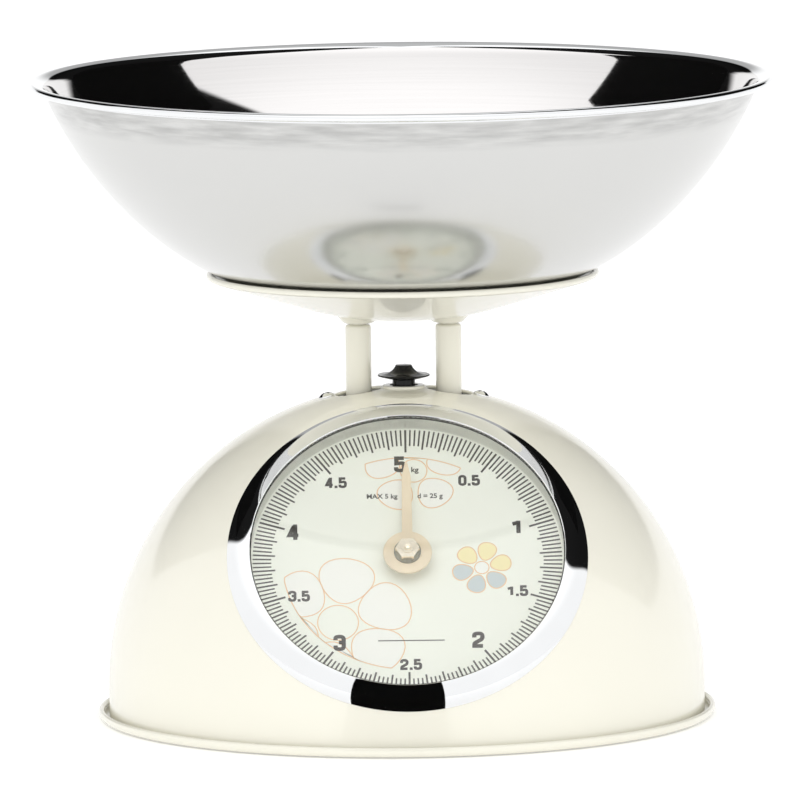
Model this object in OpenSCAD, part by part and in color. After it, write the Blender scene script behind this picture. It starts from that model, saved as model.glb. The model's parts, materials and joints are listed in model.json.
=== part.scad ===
// Mechanical kitchen scale: domed housing with a tilted dial, a dish platform on two posts
// and a lift-off bowl. One full turn of the pointer is 5 kg.
// Origin: centre of the footprint on the table. +Z up, dial towards -Y, +X to the reader's right.

/* [Housing] */
// Outer radius of the spun dome
dome_r = 116; // [115:0.5:117]
// Height of the dome's sphere centre above the table
dome_z = 13; // [12:0.5:14]
// Sheet thickness of the dome
dome_wall = 1.2; // [0.8:0.1:1.4]
// Outer radius of the tray's rolled rim
tray_r = 120; // [119.5:0.5:124]
// Height of the tray's floor above the table
tray_floor_z = 2.2; // [1.8:0.1:2.4]
// Sheet thickness of the tray
tray_wall = 1.0; // [0.8:0.1:1.2]
// Radius of the rubber feet
foot_r = 9; // [6:0.5:10]

/* [Dial] */
// Elevation of the dial's axis above the horizontal
dial_elevation = 39; // [37:1:41]
// Distance of the dial face from the dome's sphere centre
dial_face = 89; // [88.8:0.1:89.2]
// Visible radius of the dial
dial_r = 60.2; // [60:0.1:60.8]
// Outer radius of the bezel
bezel_r = 69.4; // [69:0.2:71]
// Height of the bezel's crown above the dial face
bezel_h = 9.9; // [9.5:0.1:10.5]
// Rise of the lens's crown
lens_rise = 3.6; // [3.4:0.1:4]
// Length of the pointer from its axis to its tip
pointer_l = 41; // [36:1:48]

/* [Platform] */
// Radius of the posts
post_r = 5; // [4.5:0.25:5.5]
// Distance of each post's axis from the middle
post_x = 17.5; // [17:0.25:18]
// Height of the platter's bosses above the table
boss_z = 154; // [153:0.5:155]
// Outer radius of the platter's rolled rim
platter_r = 76.2; // [75.6:0.2:78]
// Sheet thickness of the platter
platter_wall = 1.0; // [0.8:0.1:1.0]

/* [Bowl] */
// Outer radius of the bowl's rolled rim
bowl_rim_r = 144.5; // [144:0.5:145]
// Sphere radius of the bowl's main wall
bowl_r = 150.6; // [150:0.2:151]
// Height of that sphere's centre above the table
bowl_z = 305; // [305:0.5:307]
// Sheet thickness of the bowl
bowl_wall = 1.0; // [0.8:0.1:1.2]

/* [Mechanism] */
// Travel of the platform from zero to full load
travel = 12.13; // [11:0.01:12.2]
// Module of the rack and pinion
gear_module = 0.3; // [0.3:0.01:0.31]
// Teeth on the pinion
pinion_teeth = 10; // [10:1:10]
// Outer radius of the main spring
spring_r = 8; // [7:0.5:8.5]
// Working coils of the main spring
spring_coils = 14; // [10:1:16]
// Length of the parallel levers between their pivots
lever_l = 46; // [44:1:46]

/* [Hidden] */
$fn = 96;

// Play between solids that touch but aren't one piece
play = 0.05;
// Larger than anything here, for cutting
far = 400;

dome_inner = dome_r - dome_wall;
tray_floor_top = tray_floor_z + tray_wall;
tray_bead_r = 1.0;
tray_corner_r = 2.4;
tray_wall_h = 0.4;
tray_low_z = 0.5;
tray_step_r = 113;
skirt_low_z = tray_low_z + tray_wall + 0.2;
bracket_turns = [30, 150, 210, 330];

dial_hole_r = dial_r + 2.7;
seat_r = dial_r + 0.6;
neck_r = seat_r + play;
bezel_top = dial_face + bezel_h;
lens_wall = 1.6;
lens_edge_top = bezel_top - 0.9;
lens_edge_low = lens_edge_top - 1.3;
cup_top = dial_face - 0.9;
cup_low = cup_top - 1.6;

bowl_foot_z = 166;
bowl_lip_r = 5;
bowl_bead_r = 1.5;
bowl_knuckle_r = 120;
bowl_join_a = -49.2;

platter_floor_z = 156;
platter_flat_r = 8;
platter_cone_r = 38;
platter_slope = 17;
platter_bead_r = 1.2;
platter_bead_up = 1.3;

strap_r = dome_inner - play;
strap_wall = 1.6;
strap_x = 36;
strap_y = 11;
dome_screw_x = 30;
crown_in_z = dome_z + strap_r;

flange_z = 98;
flange_t = 2;
post_low_z = flange_z + flange_t;
carrier_x = 22;
carrier_wall = 2;
web_z = 32;
pin_y = 12;
upper_pin_z = 92;
lower_pin_z = 44;
pivot_y = pin_y + lever_l;
lever_tilt = asin(travel / 2 / lever_l);
lever_drop = travel / 2;

pitch_r = gear_module * pinion_teeth / 2;
tooth_pitch = PI * gear_module;
tooth_w = 0.40 * tooth_pitch;
tooth_add = 0.16;
tooth_ded = 0.28;
rack_back_x = 4.8;
rack_z = 78;
rack_wall = 3;
rack_top_y = 46;
shaft_r = 1.0;
hub_r = 2.4;
rear_bush_r = 3;

// Radii of the screws, the pins and their holes
small_screw_r = 1.5;
small_hole_r = 1.6;
tight_hole_r = small_screw_r + play;
loose_hole_r = 1.7;
pivot_r = 2;
pin_r = 1.5;
main_screw_r = 2;
rack_screw_r = 0.8;

// Places of the screws and feet, from the axis or from the middle planes
bracket_at_r = 106;
foot_at_r = 98;
foot_stem_r = 2.5;
frame_foot_x = 42;
frame_foot_y = 5;
pillar_screw_x = 12;
clamp_at_r = 54;
channel_screw_x = 24;
channel_screw_y = 8;
rack_screw_y = [36, 42];

bracket_low = 55;
bracket_x = 18;
upper_pivot_z = upper_pin_z - lever_drop;
lower_pivot_z = lower_pin_z - lever_drop;
needle_z = dial_face + 6.2;
needle_t = 1.0;

hanger_z = 88;
hanger_h = 16;
hanger_wall = 3;
hanger_nut = 6;

knob_seat_z = crown_in_z + 0.1;
knob_low_z = knob_seat_z + 0.7;
knob_top_z = 137.4;
knob_stem_r = 4.4;
adjuster_r = 3;

cone_arc_r = (platter_cone_r - platter_flat_r) / sin(platter_slope);
cone_z = platter_floor_z + cone_arc_r * (1 - cos(platter_slope));
cone_end_r = platter_r - platter_bead_r;
cone_end_z = cone_z + (cone_end_r - platter_cone_r) * tan(platter_slope);

bowl_lip_a = -acos((bowl_rim_r - bowl_bead_r) / (bowl_r + bowl_lip_r));
lip_x = (bowl_r + bowl_lip_r) * cos(bowl_lip_a);
lip_z = bowl_z + (bowl_r + bowl_lip_r) * sin(bowl_lip_a);
knuckle_x = (bowl_r - bowl_knuckle_r) * cos(bowl_join_a);
knuckle_z = bowl_z + (bowl_r - bowl_knuckle_r) * sin(bowl_join_a);

// Points along an arc in a plane, both ends included
function arc(cx, cy, r, from, to, steps) =
    [for (i = [0:steps]) let (a = from + (to - from) * i / steps) [cx + r * cos(a), cy + r * sin(a)]];

// Height of a sphere of radius r above its centre plane, at distance d from its axis
function cap_z(r, d) = sqrt(r * r - d * d);

// Frame of the dial: +Z out along the dial's axis, +Y up the dial's face
module at_dial() {
    translate([0, 0, dome_z]) rotate([90 - dial_elevation, 0, 0]) children();
}

// Frame of one crown screw at radius r from the sphere's centre, +Z along the sphere's normal
module at_crown(side, r) {
    translate([0, 0, dome_z]) rotate([0, side * asin(dome_screw_x / dome_r), 0])
        translate([0, 0, r]) children();
}

// Pan-head screw: head on z = 0, shank below, cross recess in the head
module pan_screw(head_r, head_h, shank_r, length) {
    recess_w = head_r * 0.28;
    dome_r = (head_r * head_r + head_h * head_h) / head_h / 1.6;
    difference() {
        intersection() {
            cylinder(r = head_r, h = head_h);
            translate([0, 0, head_h - dome_r]) sphere(r = dome_r);
        }
        for (turn = [45, 135]) {
            rotate(turn) translate([-head_r * 0.6, -recess_w / 2, head_h * 0.45])
                cube([head_r * 1.2, recess_w, head_h]);
        }
    }
    translate([0, 0, -length]) cylinder(r = shank_r, h = length + head_h * 0.3);
}

// Solid dome form: half sphere on a straight skirt
module dome_form(r, low_z) {
    intersection() {
        translate([0, 0, dome_z]) sphere(r = r);
        translate([-far / 2, -far / 2, dome_z]) cube([far, far, far]);
    }
    translate([0, 0, low_z]) cylinder(r = r, h = dome_z - low_z);
}

// ---- Housing ----

module housing_dome() color("ivory") {
    difference() {
        dome_form(dome_r, skirt_low_z);
        dome_form(dome_inner, skirt_low_z - 1);
        at_dial() cylinder(r = dial_hole_r, h = far);
        for (side = [-1, 1]) {
            translate([side * post_x, 0, dome_z + 80]) cylinder(r = post_r + 4, h = far);
            at_crown(side, dome_inner) translate([0, 0, -5]) cylinder(r = 2.1, h = 10);
        }
        translate([0, 0, dome_z + 80]) cylinder(r = 5.5, h = far);
    }
}

module tray_profile() {
    corner_x = tray_r - tray_corner_r;
    corner_z = tray_low_z + tray_corner_r;
    translate([0, tray_floor_z]) square([tray_step_r, tray_wall]);
    translate([tray_step_r - tray_wall, tray_low_z]) square([tray_wall, tray_floor_top - tray_low_z]);
    translate([tray_step_r - tray_wall, tray_low_z]) square([corner_x - tray_step_r + tray_wall, tray_wall]);
    intersection() {
        difference() {
            translate([corner_x, corner_z]) circle(r = tray_corner_r);
            translate([corner_x, corner_z]) circle(r = tray_corner_r - tray_wall);
        }
        translate([corner_x, tray_low_z]) square([tray_corner_r, tray_corner_r]);
    }
    translate([tray_r - tray_wall, corner_z]) square([tray_wall, tray_wall_h]);
    translate([tray_r - tray_bead_r, corner_z + tray_wall_h]) circle(r = tray_bead_r);
}

module base_tray() color("ivory") {
    difference() {
        rotate_extrude() tray_profile();
        for (turn = bracket_turns) rotate(turn) translate([bracket_at_r, 0, 0])
            cylinder(r = small_hole_r, h = 10);
        for (turn = [45:90:315]) rotate(turn) translate([foot_at_r, 0, 0])
            cylinder(r = foot_stem_r, h = 10);
        for (x = [-1, 1] * frame_foot_x, y = [-1, 1] * frame_foot_y) translate([x, y, 0])
            cylinder(r = small_hole_r, h = 10);
        for (x = [-1, 1] * pillar_screw_x) translate([x, pivot_y - 10, 0])
            cylinder(r = small_hole_r, h = 10);
    }
}

// Pads with a stem through the tray and a button above it
module rubber_feet() color("dimgray") {
    for (turn = [45:90:315]) rotate(turn) translate([foot_at_r, 0, 0]) {
        cylinder(r1 = foot_r - 0.8, r2 = foot_r, h = tray_floor_z);
        cylinder(r = foot_stem_r - play, h = tray_floor_top + 1);
        translate([0, 0, tray_floor_top]) cylinder(r1 = 3.6, r2 = 2, h = 2);
    }
}

module base_screws() color("silver") {
    for (turn = bracket_turns) rotate(turn) translate([bracket_at_r, 0, tray_floor_z])
        mirror([0, 0, 1]) pan_screw(2.8, 1.6, small_screw_r, 6);
}

// Angle tabs welded inside the dome's skirt, tapped for the base screws
module base_brackets() color("silver") {
    for (turn = bracket_turns) rotate(turn) difference() {
        intersection() {
            union() {
                translate([100, -7, tray_floor_top + play]) cube([20, 14, 1.6]);
                translate([112, -7, tray_floor_top + play]) cube([10, 14, 9]);
            }
            cylinder(r = dome_inner - 2 * play, h = far, $fn = 256);
        }
        translate([bracket_at_r, 0, 0]) cylinder(r = tight_hole_r, h = far);
    }
}

// ---- Dial group, in the dial's own frame ----

// Crown in a shallow arc from the lens to the dome, and a neck that drops inside
module bezel_ring() color("silver") {
    edge_h = 0.4;
    bulge = 0.8;
    low = cap_z(dome_r, bezel_r);
    rise = bezel_top - low - edge_h;
    run = bezel_r - seat_r;
    chord = norm([rise, run]);
    crown_r = (chord * chord / 4 + bulge * bulge) / (2 * bulge);
    middle_a = atan2(run, rise);
    half_a = asin(chord / 2 / crown_r);
    back = crown_r - bulge;
    crown_x = (bezel_r + seat_r) / 2 - back * cos(middle_a);
    crown_z = bezel_top - rise / 2 - back * sin(middle_a);
    at_dial() {
        difference() {
            rotate_extrude() polygon(concat(
                [[dial_r, lens_edge_top + play], [dial_r, bezel_top - 0.3]],
                arc(crown_x, crown_z, crown_r, middle_a + half_a, middle_a - half_a, 12),
                [[bezel_r, low], [neck_r, low], [neck_r, lens_edge_top + play]]
            ));
            sphere(r = dome_r + play, $fn = 360);
        }
        rotate_extrude() {
            translate([neck_r, cup_low - 1.2]) square([1.75, bezel_top + 0.5 - cup_low]);
            translate([dial_r - 1.5, cup_low - 1.2]) square([3, 1.1]);
        }
    }
}

// Domed window: a slice between two spheres with a plain edge
module lens() color("white", 0.3) {
    inner_r = (seat_r * seat_r + lens_rise * lens_rise) / (2 * lens_rise);
    outer_r = inner_r + lens_wall;
    inner_centre = lens_edge_low + lens_rise - inner_r;
    at_dial() difference() {
        intersection() {
            translate([0, 0, inner_centre]) sphere(r = outer_r, $fn = 400);
            translate([0, 0, lens_edge_low]) cylinder(r = seat_r, h = 20);
            union() {
                translate([0, 0, lens_edge_low]) cylinder(r = dial_r - 0.1, h = 20);
                translate([0, 0, lens_edge_low]) cylinder(r = seat_r, h = lens_edge_top - lens_edge_low);
            }
        }
        translate([0, 0, inner_centre]) sphere(r = inner_r, $fn = 400);
    }
}

module lens_gasket() color("dimgray") {
    at_dial() translate([0, 0, lens_edge_low - 0.6]) difference() {
        cylinder(r = seat_r, h = 0.55);
        translate([0, 0, -1]) cylinder(r = dial_r, h = 3);
    }
}

module spacer_ring() color("silver") {
    at_dial() translate([0, 0, dial_face + play]) difference() {
        cylinder(r = seat_r, h = lens_edge_low - 0.7 - dial_face);
        translate([0, 0, -1]) cylinder(r = dial_r, h = 20);
    }
}

module dial_plate() color("honeydew") {
    at_dial() difference() {
        translate([0, 0, cup_top + play]) cylinder(r = seat_r, h = dial_face - cup_top - play);
        translate([0, 0, 80]) cylinder(r = 3.2, h = 20);
    }
}

// Stiff disc that carries the dial and the front bush
module dial_cup() color("gray") {
    at_dial() difference() {
        translate([0, 0, cup_low]) cylinder(r = seat_r, h = cup_top - cup_low);
        translate([0, 0, 80]) cylinder(r = 4.5 + play, h = 20);
        for (turn = [45:90:315]) rotate(turn) translate([clamp_at_r, 0, 80])
            cylinder(r = tight_hole_r, h = 20);
        for (x = [-1, 1] * channel_screw_x, y = [-1, 1] * channel_screw_y) translate([x, y, 80])
            cylinder(r = tight_hole_r, h = 20);
    }
}

// Ring that pulls the dial group against the inside of the dome
module clamp_ring() color("gray") {
    at_dial() difference() {
        intersection() {
            rotate_extrude() {
                translate([51, cup_low - 2.9]) square([21, 1.6]);
                translate([70.4, cup_low - 2.9]) square([1.6, 10]);
            }
            sphere(r = dome_inner - 2 * play);
        }
        for (turn = [45:90:315]) rotate(turn) translate([clamp_at_r, 0, 60])
            cylinder(r = loose_hole_r, h = 40);
    }
}

module clamp_screws() color("silver") {
    for (turn = [45:90:315]) at_dial() rotate(turn) translate([clamp_at_r, 0, cup_low - 2.9])
        mirror([0, 0, 1]) pan_screw(2.8, 1.8, small_screw_r, 4.2);
}

// Channel that carries the rear end of the pointer shaft
module shaft_bracket() color("gold") {
    at_dial() difference() {
        union() {
            for (side = [-1, 1]) {
                translate([side * (bracket_x + 0.8) - 0.8, -12, bracket_low])
                    cube([1.6, 24, cup_low - play - bracket_low]);
                translate([side * (bracket_x + 5) - 5, -12, cup_low - 1.6 - play]) cube([10, 24, 1.6]);
            }
            translate([-bracket_x - 1.6, -12, bracket_low]) cube([2 * bracket_x + 3.2, 24, 1.6]);
        }
        translate([0, 0, bracket_low - 1]) cylinder(r = rear_bush_r + play, h = 4);
        for (x = [-1, 1] * channel_screw_x, y = [-1, 1] * channel_screw_y) translate([x, y, 80])
            cylinder(r = loose_hole_r, h = 20);
    }
}

module bracket_screws() color("silver") {
    for (x = [-1, 1] * channel_screw_x, y = [-1, 1] * channel_screw_y) at_dial()
        translate([x, y, cup_low - 1.6 - play]) mirror([0, 0, 1]) pan_screw(2.8, 1.8, small_screw_r, 3);
}

module front_bush() color("goldenrod") {
    at_dial() difference() {
        union() {
            translate([0, 0, cup_low - 2]) cylinder(r = 6, h = 2);
            translate([0, 0, cup_low - 2]) cylinder(r = 4.5, h = cup_top - cup_low + 2);
        }
        translate([0, 0, 70]) cylinder(r = hub_r + play, h = 30);
    }
}

module rear_bush() color("goldenrod") {
    at_dial() difference() {
        union() {
            translate([0, 0, bracket_low - 1]) cylinder(r = rear_bush_r, h = 4.6);
            translate([0, 0, bracket_low + 1.6]) cylinder(r = 4.5, h = 2);
        }
        translate([0, 0, bracket_low - 5]) cylinder(r = shaft_r + play, h = 20);
    }
}

// Nylon block behind the rack that keeps it in mesh
module rack_guide() color("whitesmoke") {
    guide_x = rack_back_x + 0.15;
    at_dial() translate([guide_x, -6, 67]) cube([bracket_x - play - guide_x, 12, 14]);
}

// ---- Frame ----

// One bent strap: curved top under the crown, two legs, two feet on the tray
module main_frame() color("lightgray") {
    leg_top = dome_z + cap_z(strap_r - strap_wall, strap_x);
    difference() {
        union() {
            intersection() {
                difference() {
                    translate([0, 0, dome_z]) sphere(r = strap_r);
                    translate([0, 0, dome_z]) sphere(r = strap_r - strap_wall);
                }
                translate([-strap_x, -strap_y, dome_z + 60]) cube([2 * strap_x, 2 * strap_y, 80]);
            }
            for (side = [-1, 1]) {
                translate([side * (strap_x - 0.8) - 0.8, -strap_y, tray_floor_top + play])
                    cube([1.6, 2 * strap_y, leg_top - tray_floor_top]);
                translate([side * frame_foot_x - 7, -strap_y, tray_floor_top + play])
                    cube([14, 2 * strap_y, 1.6]);
            }
        }
        for (side = [-1, 1]) {
            translate([side * post_x, 0, 100]) cylinder(r = post_r + 2, h = 50);
            at_crown(side, strap_r) translate([0, 0, -5]) cylinder(r = 2.1, h = 10);
            for (y = [-1, 1] * frame_foot_y) translate([side * frame_foot_x, y, 0])
                cylinder(r = tight_hole_r, h = 10);
        }
        translate([0, 0, 100]) cylinder(r = adjuster_r + play, h = 50);
    }
}

module dome_screws() color("silver") {
    for (side = [-1, 1]) at_crown(side, dome_r) pan_screw(3.1, 1.9, main_screw_r, 6.5);
}

module dome_nuts() color("silver") {
    for (side = [-1, 1]) at_crown(side, strap_r - strap_wall - play)
        translate([0, 0, -2.5]) difference() {
            cylinder(r = 3.8, h = 2.3, $fn = 6);
            translate([0, 0, -1]) cylinder(r = main_screw_r + play, h = 5);
        }
}

module frame_screws() color("silver") {
    for (x = [-1, 1] * frame_foot_x, y = [-1, 1] * frame_foot_y) translate([x, y, tray_floor_z])
        mirror([0, 0, 1]) pan_screw(2.8, 1.6, small_screw_r, 5);
    for (x = [-1, 1] * pillar_screw_x) translate([x, pivot_y - 10, tray_floor_z])
        mirror([0, 0, 1]) pan_screw(2.8, 1.6, small_screw_r, 5);
}

// Channel at the back that holds the lever pivots
module rear_pillar() color("lightgray") {
    difference() {
        union() {
            for (side = [-1, 1]) translate([side * 22.5 - 1, pivot_y - 6, tray_floor_top + play])
                cube([2, 12, upper_pivot_z + 6 - tray_floor_top]);
            translate([-23.5, pivot_y + 4, tray_floor_top + play])
                cube([47, 2, upper_pivot_z + 6 - tray_floor_top]);
            translate([-20, pivot_y - 15, tray_floor_top + play]) cube([40, 21, 1.6]);
        }
        for (z = [lower_pivot_z, upper_pivot_z])
            translate([-40, pivot_y, z]) rotate([0, 90, 0]) cylinder(r = pivot_r + play, h = 80);
        for (x = [-1, 1] * pillar_screw_x) translate([x, pivot_y - 10, 0])
            cylinder(r = tight_hole_r, h = 10);
    }
}

module pivot_pin(z) {
    translate([-29.5, pivot_y, z]) rotate([0, 90, 0]) {
        cylinder(r = pivot_r, h = 58.5);
        cylinder(r = 3, h = 1.5);
    }
}

module upper_pivot_pin() color("silver") pivot_pin(upper_pivot_z);
module lower_pivot_pin() color("silver") pivot_pin(lower_pivot_z);

// Clips on the plain ends of the pivot pins
module pivot_clips() color("dimgray") {
    for (z = [lower_pivot_z, upper_pivot_z]) translate([27.8, pivot_y, z]) rotate([0, 90, 0]) difference() {
        cylinder(r = 3.4, h = 0.8);
        translate([0, 0, -1]) cylinder(r = pivot_r + play, h = 3);
    }
}

module knob_washer() color("silver") {
    translate([0, 0, knob_seat_z]) difference() {
        cylinder(r = 5, h = 0.6);
        translate([0, 0, -1]) cylinder(r = adjuster_r + play, h = 3);
    }
}

// ---- Platform ----

// Underside of the platter from the axis to the rim, raised square to the sheet by lift
function platter_line(lift) = concat(
    [[0, platter_floor_z + lift]],
    arc(platter_flat_r, platter_floor_z + cone_arc_r, cone_arc_r - lift, -90, platter_slope - 90, 10),
    [[cone_end_r - lift * sin(platter_slope), cone_end_z + lift * cos(platter_slope)]]
);

function reversed(list) = [for (i = [len(list) - 1:-1:0]) list[i]];

module platter() color("ivory") {
    difference() {
        union() {
            rotate_extrude() {
                polygon(concat(platter_line(0), reversed(platter_line(platter_wall))));
                translate([cone_end_r, cone_end_z + platter_bead_up]) circle(r = platter_bead_r);
            }
            difference() {
                for (side = [-1, 1]) translate([side * post_x, 0, boss_z]) cylinder(r1 = 5.3, r2 = 10, h = 6);
                rotate_extrude()
                    polygon(concat(platter_line(platter_wall / 2), [[cone_end_r, 200], [0, 200]]));
            }
        }
        for (side = [-1, 1]) translate([side * post_x, 0, 100])
            cylinder(r = main_screw_r + play, h = 100);
    }
}

module platter_screws() color("silver") {
    for (side = [-1, 1]) translate([side * post_x, 0, 158.2]) pan_screw(3.6, 2.2, main_screw_r, 14);
}

module post(x) {
    shoulder = 1.2;
    translate([x, 0, 0]) difference() {
        union() {
            rotate_extrude() {
                translate([0, post_low_z]) square([post_r, boss_z - 0.6 - shoulder - post_low_z]);
                translate([0, post_low_z]) square([post_r - shoulder, boss_z - 0.6 - post_low_z]);
                intersection() {
                    translate([post_r - shoulder, boss_z - 0.6 - shoulder]) circle(r = shoulder);
                    square([post_r, boss_z]);
                }
            }
            translate([0, 0, post_low_z]) cylinder(r = 3.4, h = boss_z - post_low_z);
        }
        translate([0, 0, boss_z - 12]) cylinder(r = main_screw_r + play, h = 20);
        translate([0, 0, post_low_z - 1]) cylinder(r = main_screw_r + play, h = 13);
    }
}

module post_left() color("ivory") post(-post_x);
module post_right() color("ivory") post(post_x);

// Cradle under the posts: top frame, two side plates, bottom web and the arm for the rack
module carrier() color("lightgray") {
    side_x = carrier_x + carrier_wall / 2;
    outer_x = carrier_x + carrier_wall;
    arm_x = rack_back_x + play;
    difference() {
        union() {
            translate([-outer_x, -17, flange_z]) cube([2 * outer_x, 27, flange_t]);
            for (side = [-1, 1]) translate([side * side_x - carrier_wall / 2, -8, web_z])
                cube([carrier_wall, 25, flange_z + flange_t - web_z]);
            translate([-outer_x, -8, web_z]) cube([2 * outer_x, 16, 2]);
            translate([arm_x - 0.5, -16, 84]) cube([3, 6, flange_z + 1 - 84]);
            at_dial() translate([arm_x, 32, rack_z - 23]) cube([2, 18, 25.5]);
        }
        translate([-11.5, -9.5, flange_z - 1]) cube([23, 20, 4]);
        translate([0, 0, web_z - 1]) cylinder(r = 1.5, h = 4);
        for (side = [-1, 1]) {
            translate([side * post_x, 0, flange_z - 1]) cylinder(r = main_screw_r + play, h = 4);
            for (z = [lower_pin_z, upper_pin_z]) translate([side * side_x, pin_y, z]) rotate([0, 90, 0])
                cylinder(r = pin_r + play, h = 6, center = true);
        }
        for (y = rack_screw_y) at_dial() translate([0, y, rack_z]) rotate([0, 90, 0])
            cylinder(r = rack_screw_r + play, h = 10);
    }
}

module carrier_screws() color("silver") {
    for (side = [-1, 1]) translate([side * post_x, 0, flange_z]) mirror([0, 0, 1])
        pan_screw(3.6, 2.2, main_screw_r, 12);
}

// Shouldered stub pins that the levers carry
module carrier_pins() color("silver") {
    for (side = [-1, 1], z = [lower_pin_z, upper_pin_z]) translate([0, pin_y, z]) rotate([0, side * 90, 0]) {
        translate([0, 0, carrier_x - 1]) cylinder(r = pin_r, h = 7.5);
        translate([0, 0, carrier_x - 1]) cylinder(r = 2.4, h = 1);
        translate([0, 0, carrier_x + 5.7]) cylinder(r = 2.6, h = 0.8);
    }
}

// One tooth, its pitch point at the origin, pointing along -X
module tooth(add, ded) {
    tip = tooth_w / 2 - add * tan(20);
    root = tooth_w / 2 + ded * tan(20);
    polygon([[-add, -tip], [ded, -root], [ded, root], [-add, tip]]);
}

module rack() color("silver") {
    root_x = pitch_r + tooth_ded;
    at_dial() difference() {
        translate([0, 0, rack_z - rack_wall / 2]) linear_extrude(rack_wall) {
            translate([root_x, -2.6]) square([rack_back_x - root_x, rack_top_y + 2.6]);
            for (i = [-2:13]) translate([pitch_r, i * tooth_pitch]) tooth(tooth_add, tooth_ded + 0.05);
        }
        for (y = rack_screw_y) translate([0, y, rack_z]) rotate([0, 90, 0])
            cylinder(r = rack_screw_r + play, h = 10);
    }
}

module rack_screws() color("silver") {
    for (y = rack_screw_y) at_dial() translate([rack_back_x + 2 + play, y, rack_z]) rotate([0, 90, 0])
        pan_screw(1.7, 1.2, rack_screw_r, 4.6);
}

// Ring of points round p, square to the direction from p to q
function ring(p, q, r, sides) =
    let (d = (q - p) / norm(q - p),
         u0 = cross(d, abs(d[2]) > 0.9 ? [1, 0, 0] : [0, 0, 1]),
         u = u0 / norm(u0),
         v = cross(d, u))
    [for (i = [0:sides - 1]) p + r * (cos(360 * i / sides) * u + sin(360 * i / sides) * v)];

// Distance of the wire from the spring's axis, at fraction t of the turns
function coil_reach(t) = min(1, t * spring_coils * 1.5, (1 - t) * spring_coils * 1.5);

// Closed coils between two straight stems, each with an upset head behind its seat
module main_spring() color("slategray") {
    wire_r = 0.8;
    head_r = 2.2;
    sides = 6;
    steps = 16 * spring_coils;
    top = hanger_z - 4;
    low = web_z + 6;
    seat = hanger_z + hanger_wall + 0.2;
    path = concat(
        [for (z = [web_z - 1.8, web_z - 0.4, web_z - 0.2, web_z + 3]) [0, 0, z]],
        [for (i = [1:steps - 1]) let (t = i / steps, r = (spring_r - wire_r) * coil_reach(t))
            [r * cos(360 * spring_coils * t), r * sin(360 * spring_coils * t), low + (top - low) * t]],
        [for (z = [top + 3, seat, seat + 0.2, seat + 1.6]) [0, 0, z]]
    );
    last = len(path) - 1;
    rings = [for (i = [0:last])
        ring(path[i], i == last ? 2 * path[i] - path[i - 1] : path[i + 1],
             i < 2 || i > last - 2 ? head_r : wire_r, sides)];
    points = [for (r = rings, p = r) p];
    faces = concat(
        [[for (i = [0:sides - 1]) i]],
        [[for (i = [sides - 1:-1:0]) last * sides + i]],
        [for (k = [0:last - 1], i = [0:sides - 1]) let (j = (i + 1) % sides)
            [k * sides + j, k * sides + i, (k + 1) * sides + i, (k + 1) * sides + j]]
    );
    polyhedron(points, faces);
}

// ---- Bowl ----

// Wall line from the axis to the lip, moved inwards by the depth given
function bowl_line(depth) =
    let (foot_a = -asin((knuckle_z - bowl_foot_z - depth) / (bowl_knuckle_r - depth)))
    concat(
        [[0, bowl_foot_z + depth]],
        arc(knuckle_x, knuckle_z, bowl_knuckle_r - depth, foot_a, bowl_join_a, 10),
        arc(0, bowl_z, bowl_r - depth, bowl_join_a + 1, bowl_lip_a, 12),
        arc(lip_x, lip_z, bowl_lip_r + depth, 170 + bowl_lip_a, 90, 8)
    );

module bowl() color("silver") {
    rotate_extrude($fn = 128) {
        polygon(concat(bowl_line(0), reversed(bowl_line(bowl_wall))));
        translate([lip_x, lip_z + bowl_lip_r + bowl_wall - bowl_bead_r]) circle(r = bowl_bead_r);
    }
}

// ---- Pointer ----

module pointer_shaft() color("silver") {
    at_dial() {
        translate([0, 0, bracket_low - 4]) cylinder(r = shaft_r, h = cup_low - bracket_low + 1);
        translate([0, 0, cup_low - 4]) cylinder(r = 3.6, h = 1.8);
        difference() {
            translate([0, 0, cup_low - 4]) cylinder(r = hub_r, h = dial_face + 10.9 - cup_low + 4);
            translate([0, 0, dial_face + 12.2]) sphere(r = 2);
        }
    }
}

module pinion() color("gold") {
    at_dial() translate([0, 0, 67.8]) linear_extrude(12.4) difference() {
        union() {
            circle(r = pitch_r - tooth_ded);
            for (i = [0:pinion_teeth - 1]) rotate((i + 0.5) * 360 / pinion_teeth + 180)
                translate([-pitch_r, 0]) tooth(tooth_add, tooth_ded + 0.05);
        }
        circle(r = shaft_r + 0.01);
    }
}

// Flat blade with a round hub; the blade narrows to a point at its far end
module pointer_needle() color("peachpuff") {
    blade = 2.05;
    at_dial() translate([0, 0, needle_z]) linear_extrude(needle_t) difference() {
        union() {
            circle(r = 9.35);
            polygon([[-blade, 0], [blade, 0], [blade, pointer_l - 7], [0, pointer_l],
                [-blade, pointer_l - 7]]);
        }
        circle(r = hub_r + play);
    }
}

module pointer_washer() color("silver") {
    at_dial() {
        translate([0, 0, needle_z + needle_t]) difference() {
            cylinder(r = 5.2, h = 0.6);
            translate([0, 0, -1]) cylinder(r = hub_r + play, h = 3);
        }
    }
}

module pointer_nut() color("silver") {
    at_dial() translate([0, 0, needle_z + needle_t + 0.6]) difference() {
        cylinder(r = 4.7, h = 2.8, $fn = 6);
        translate([0, 0, -1]) cylinder(r = hub_r + play, h = 5);
    }
}

module shaft_clip() color("dimgray") {
    at_dial() translate([0, 0, bracket_low - 2.2]) difference() {
        cylinder(r = 2.4, h = 0.8);
        translate([0, 0, -1]) cylinder(r = shaft_r + 0.01, h = 3);
    }
}

// ---- Levers ----

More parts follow.
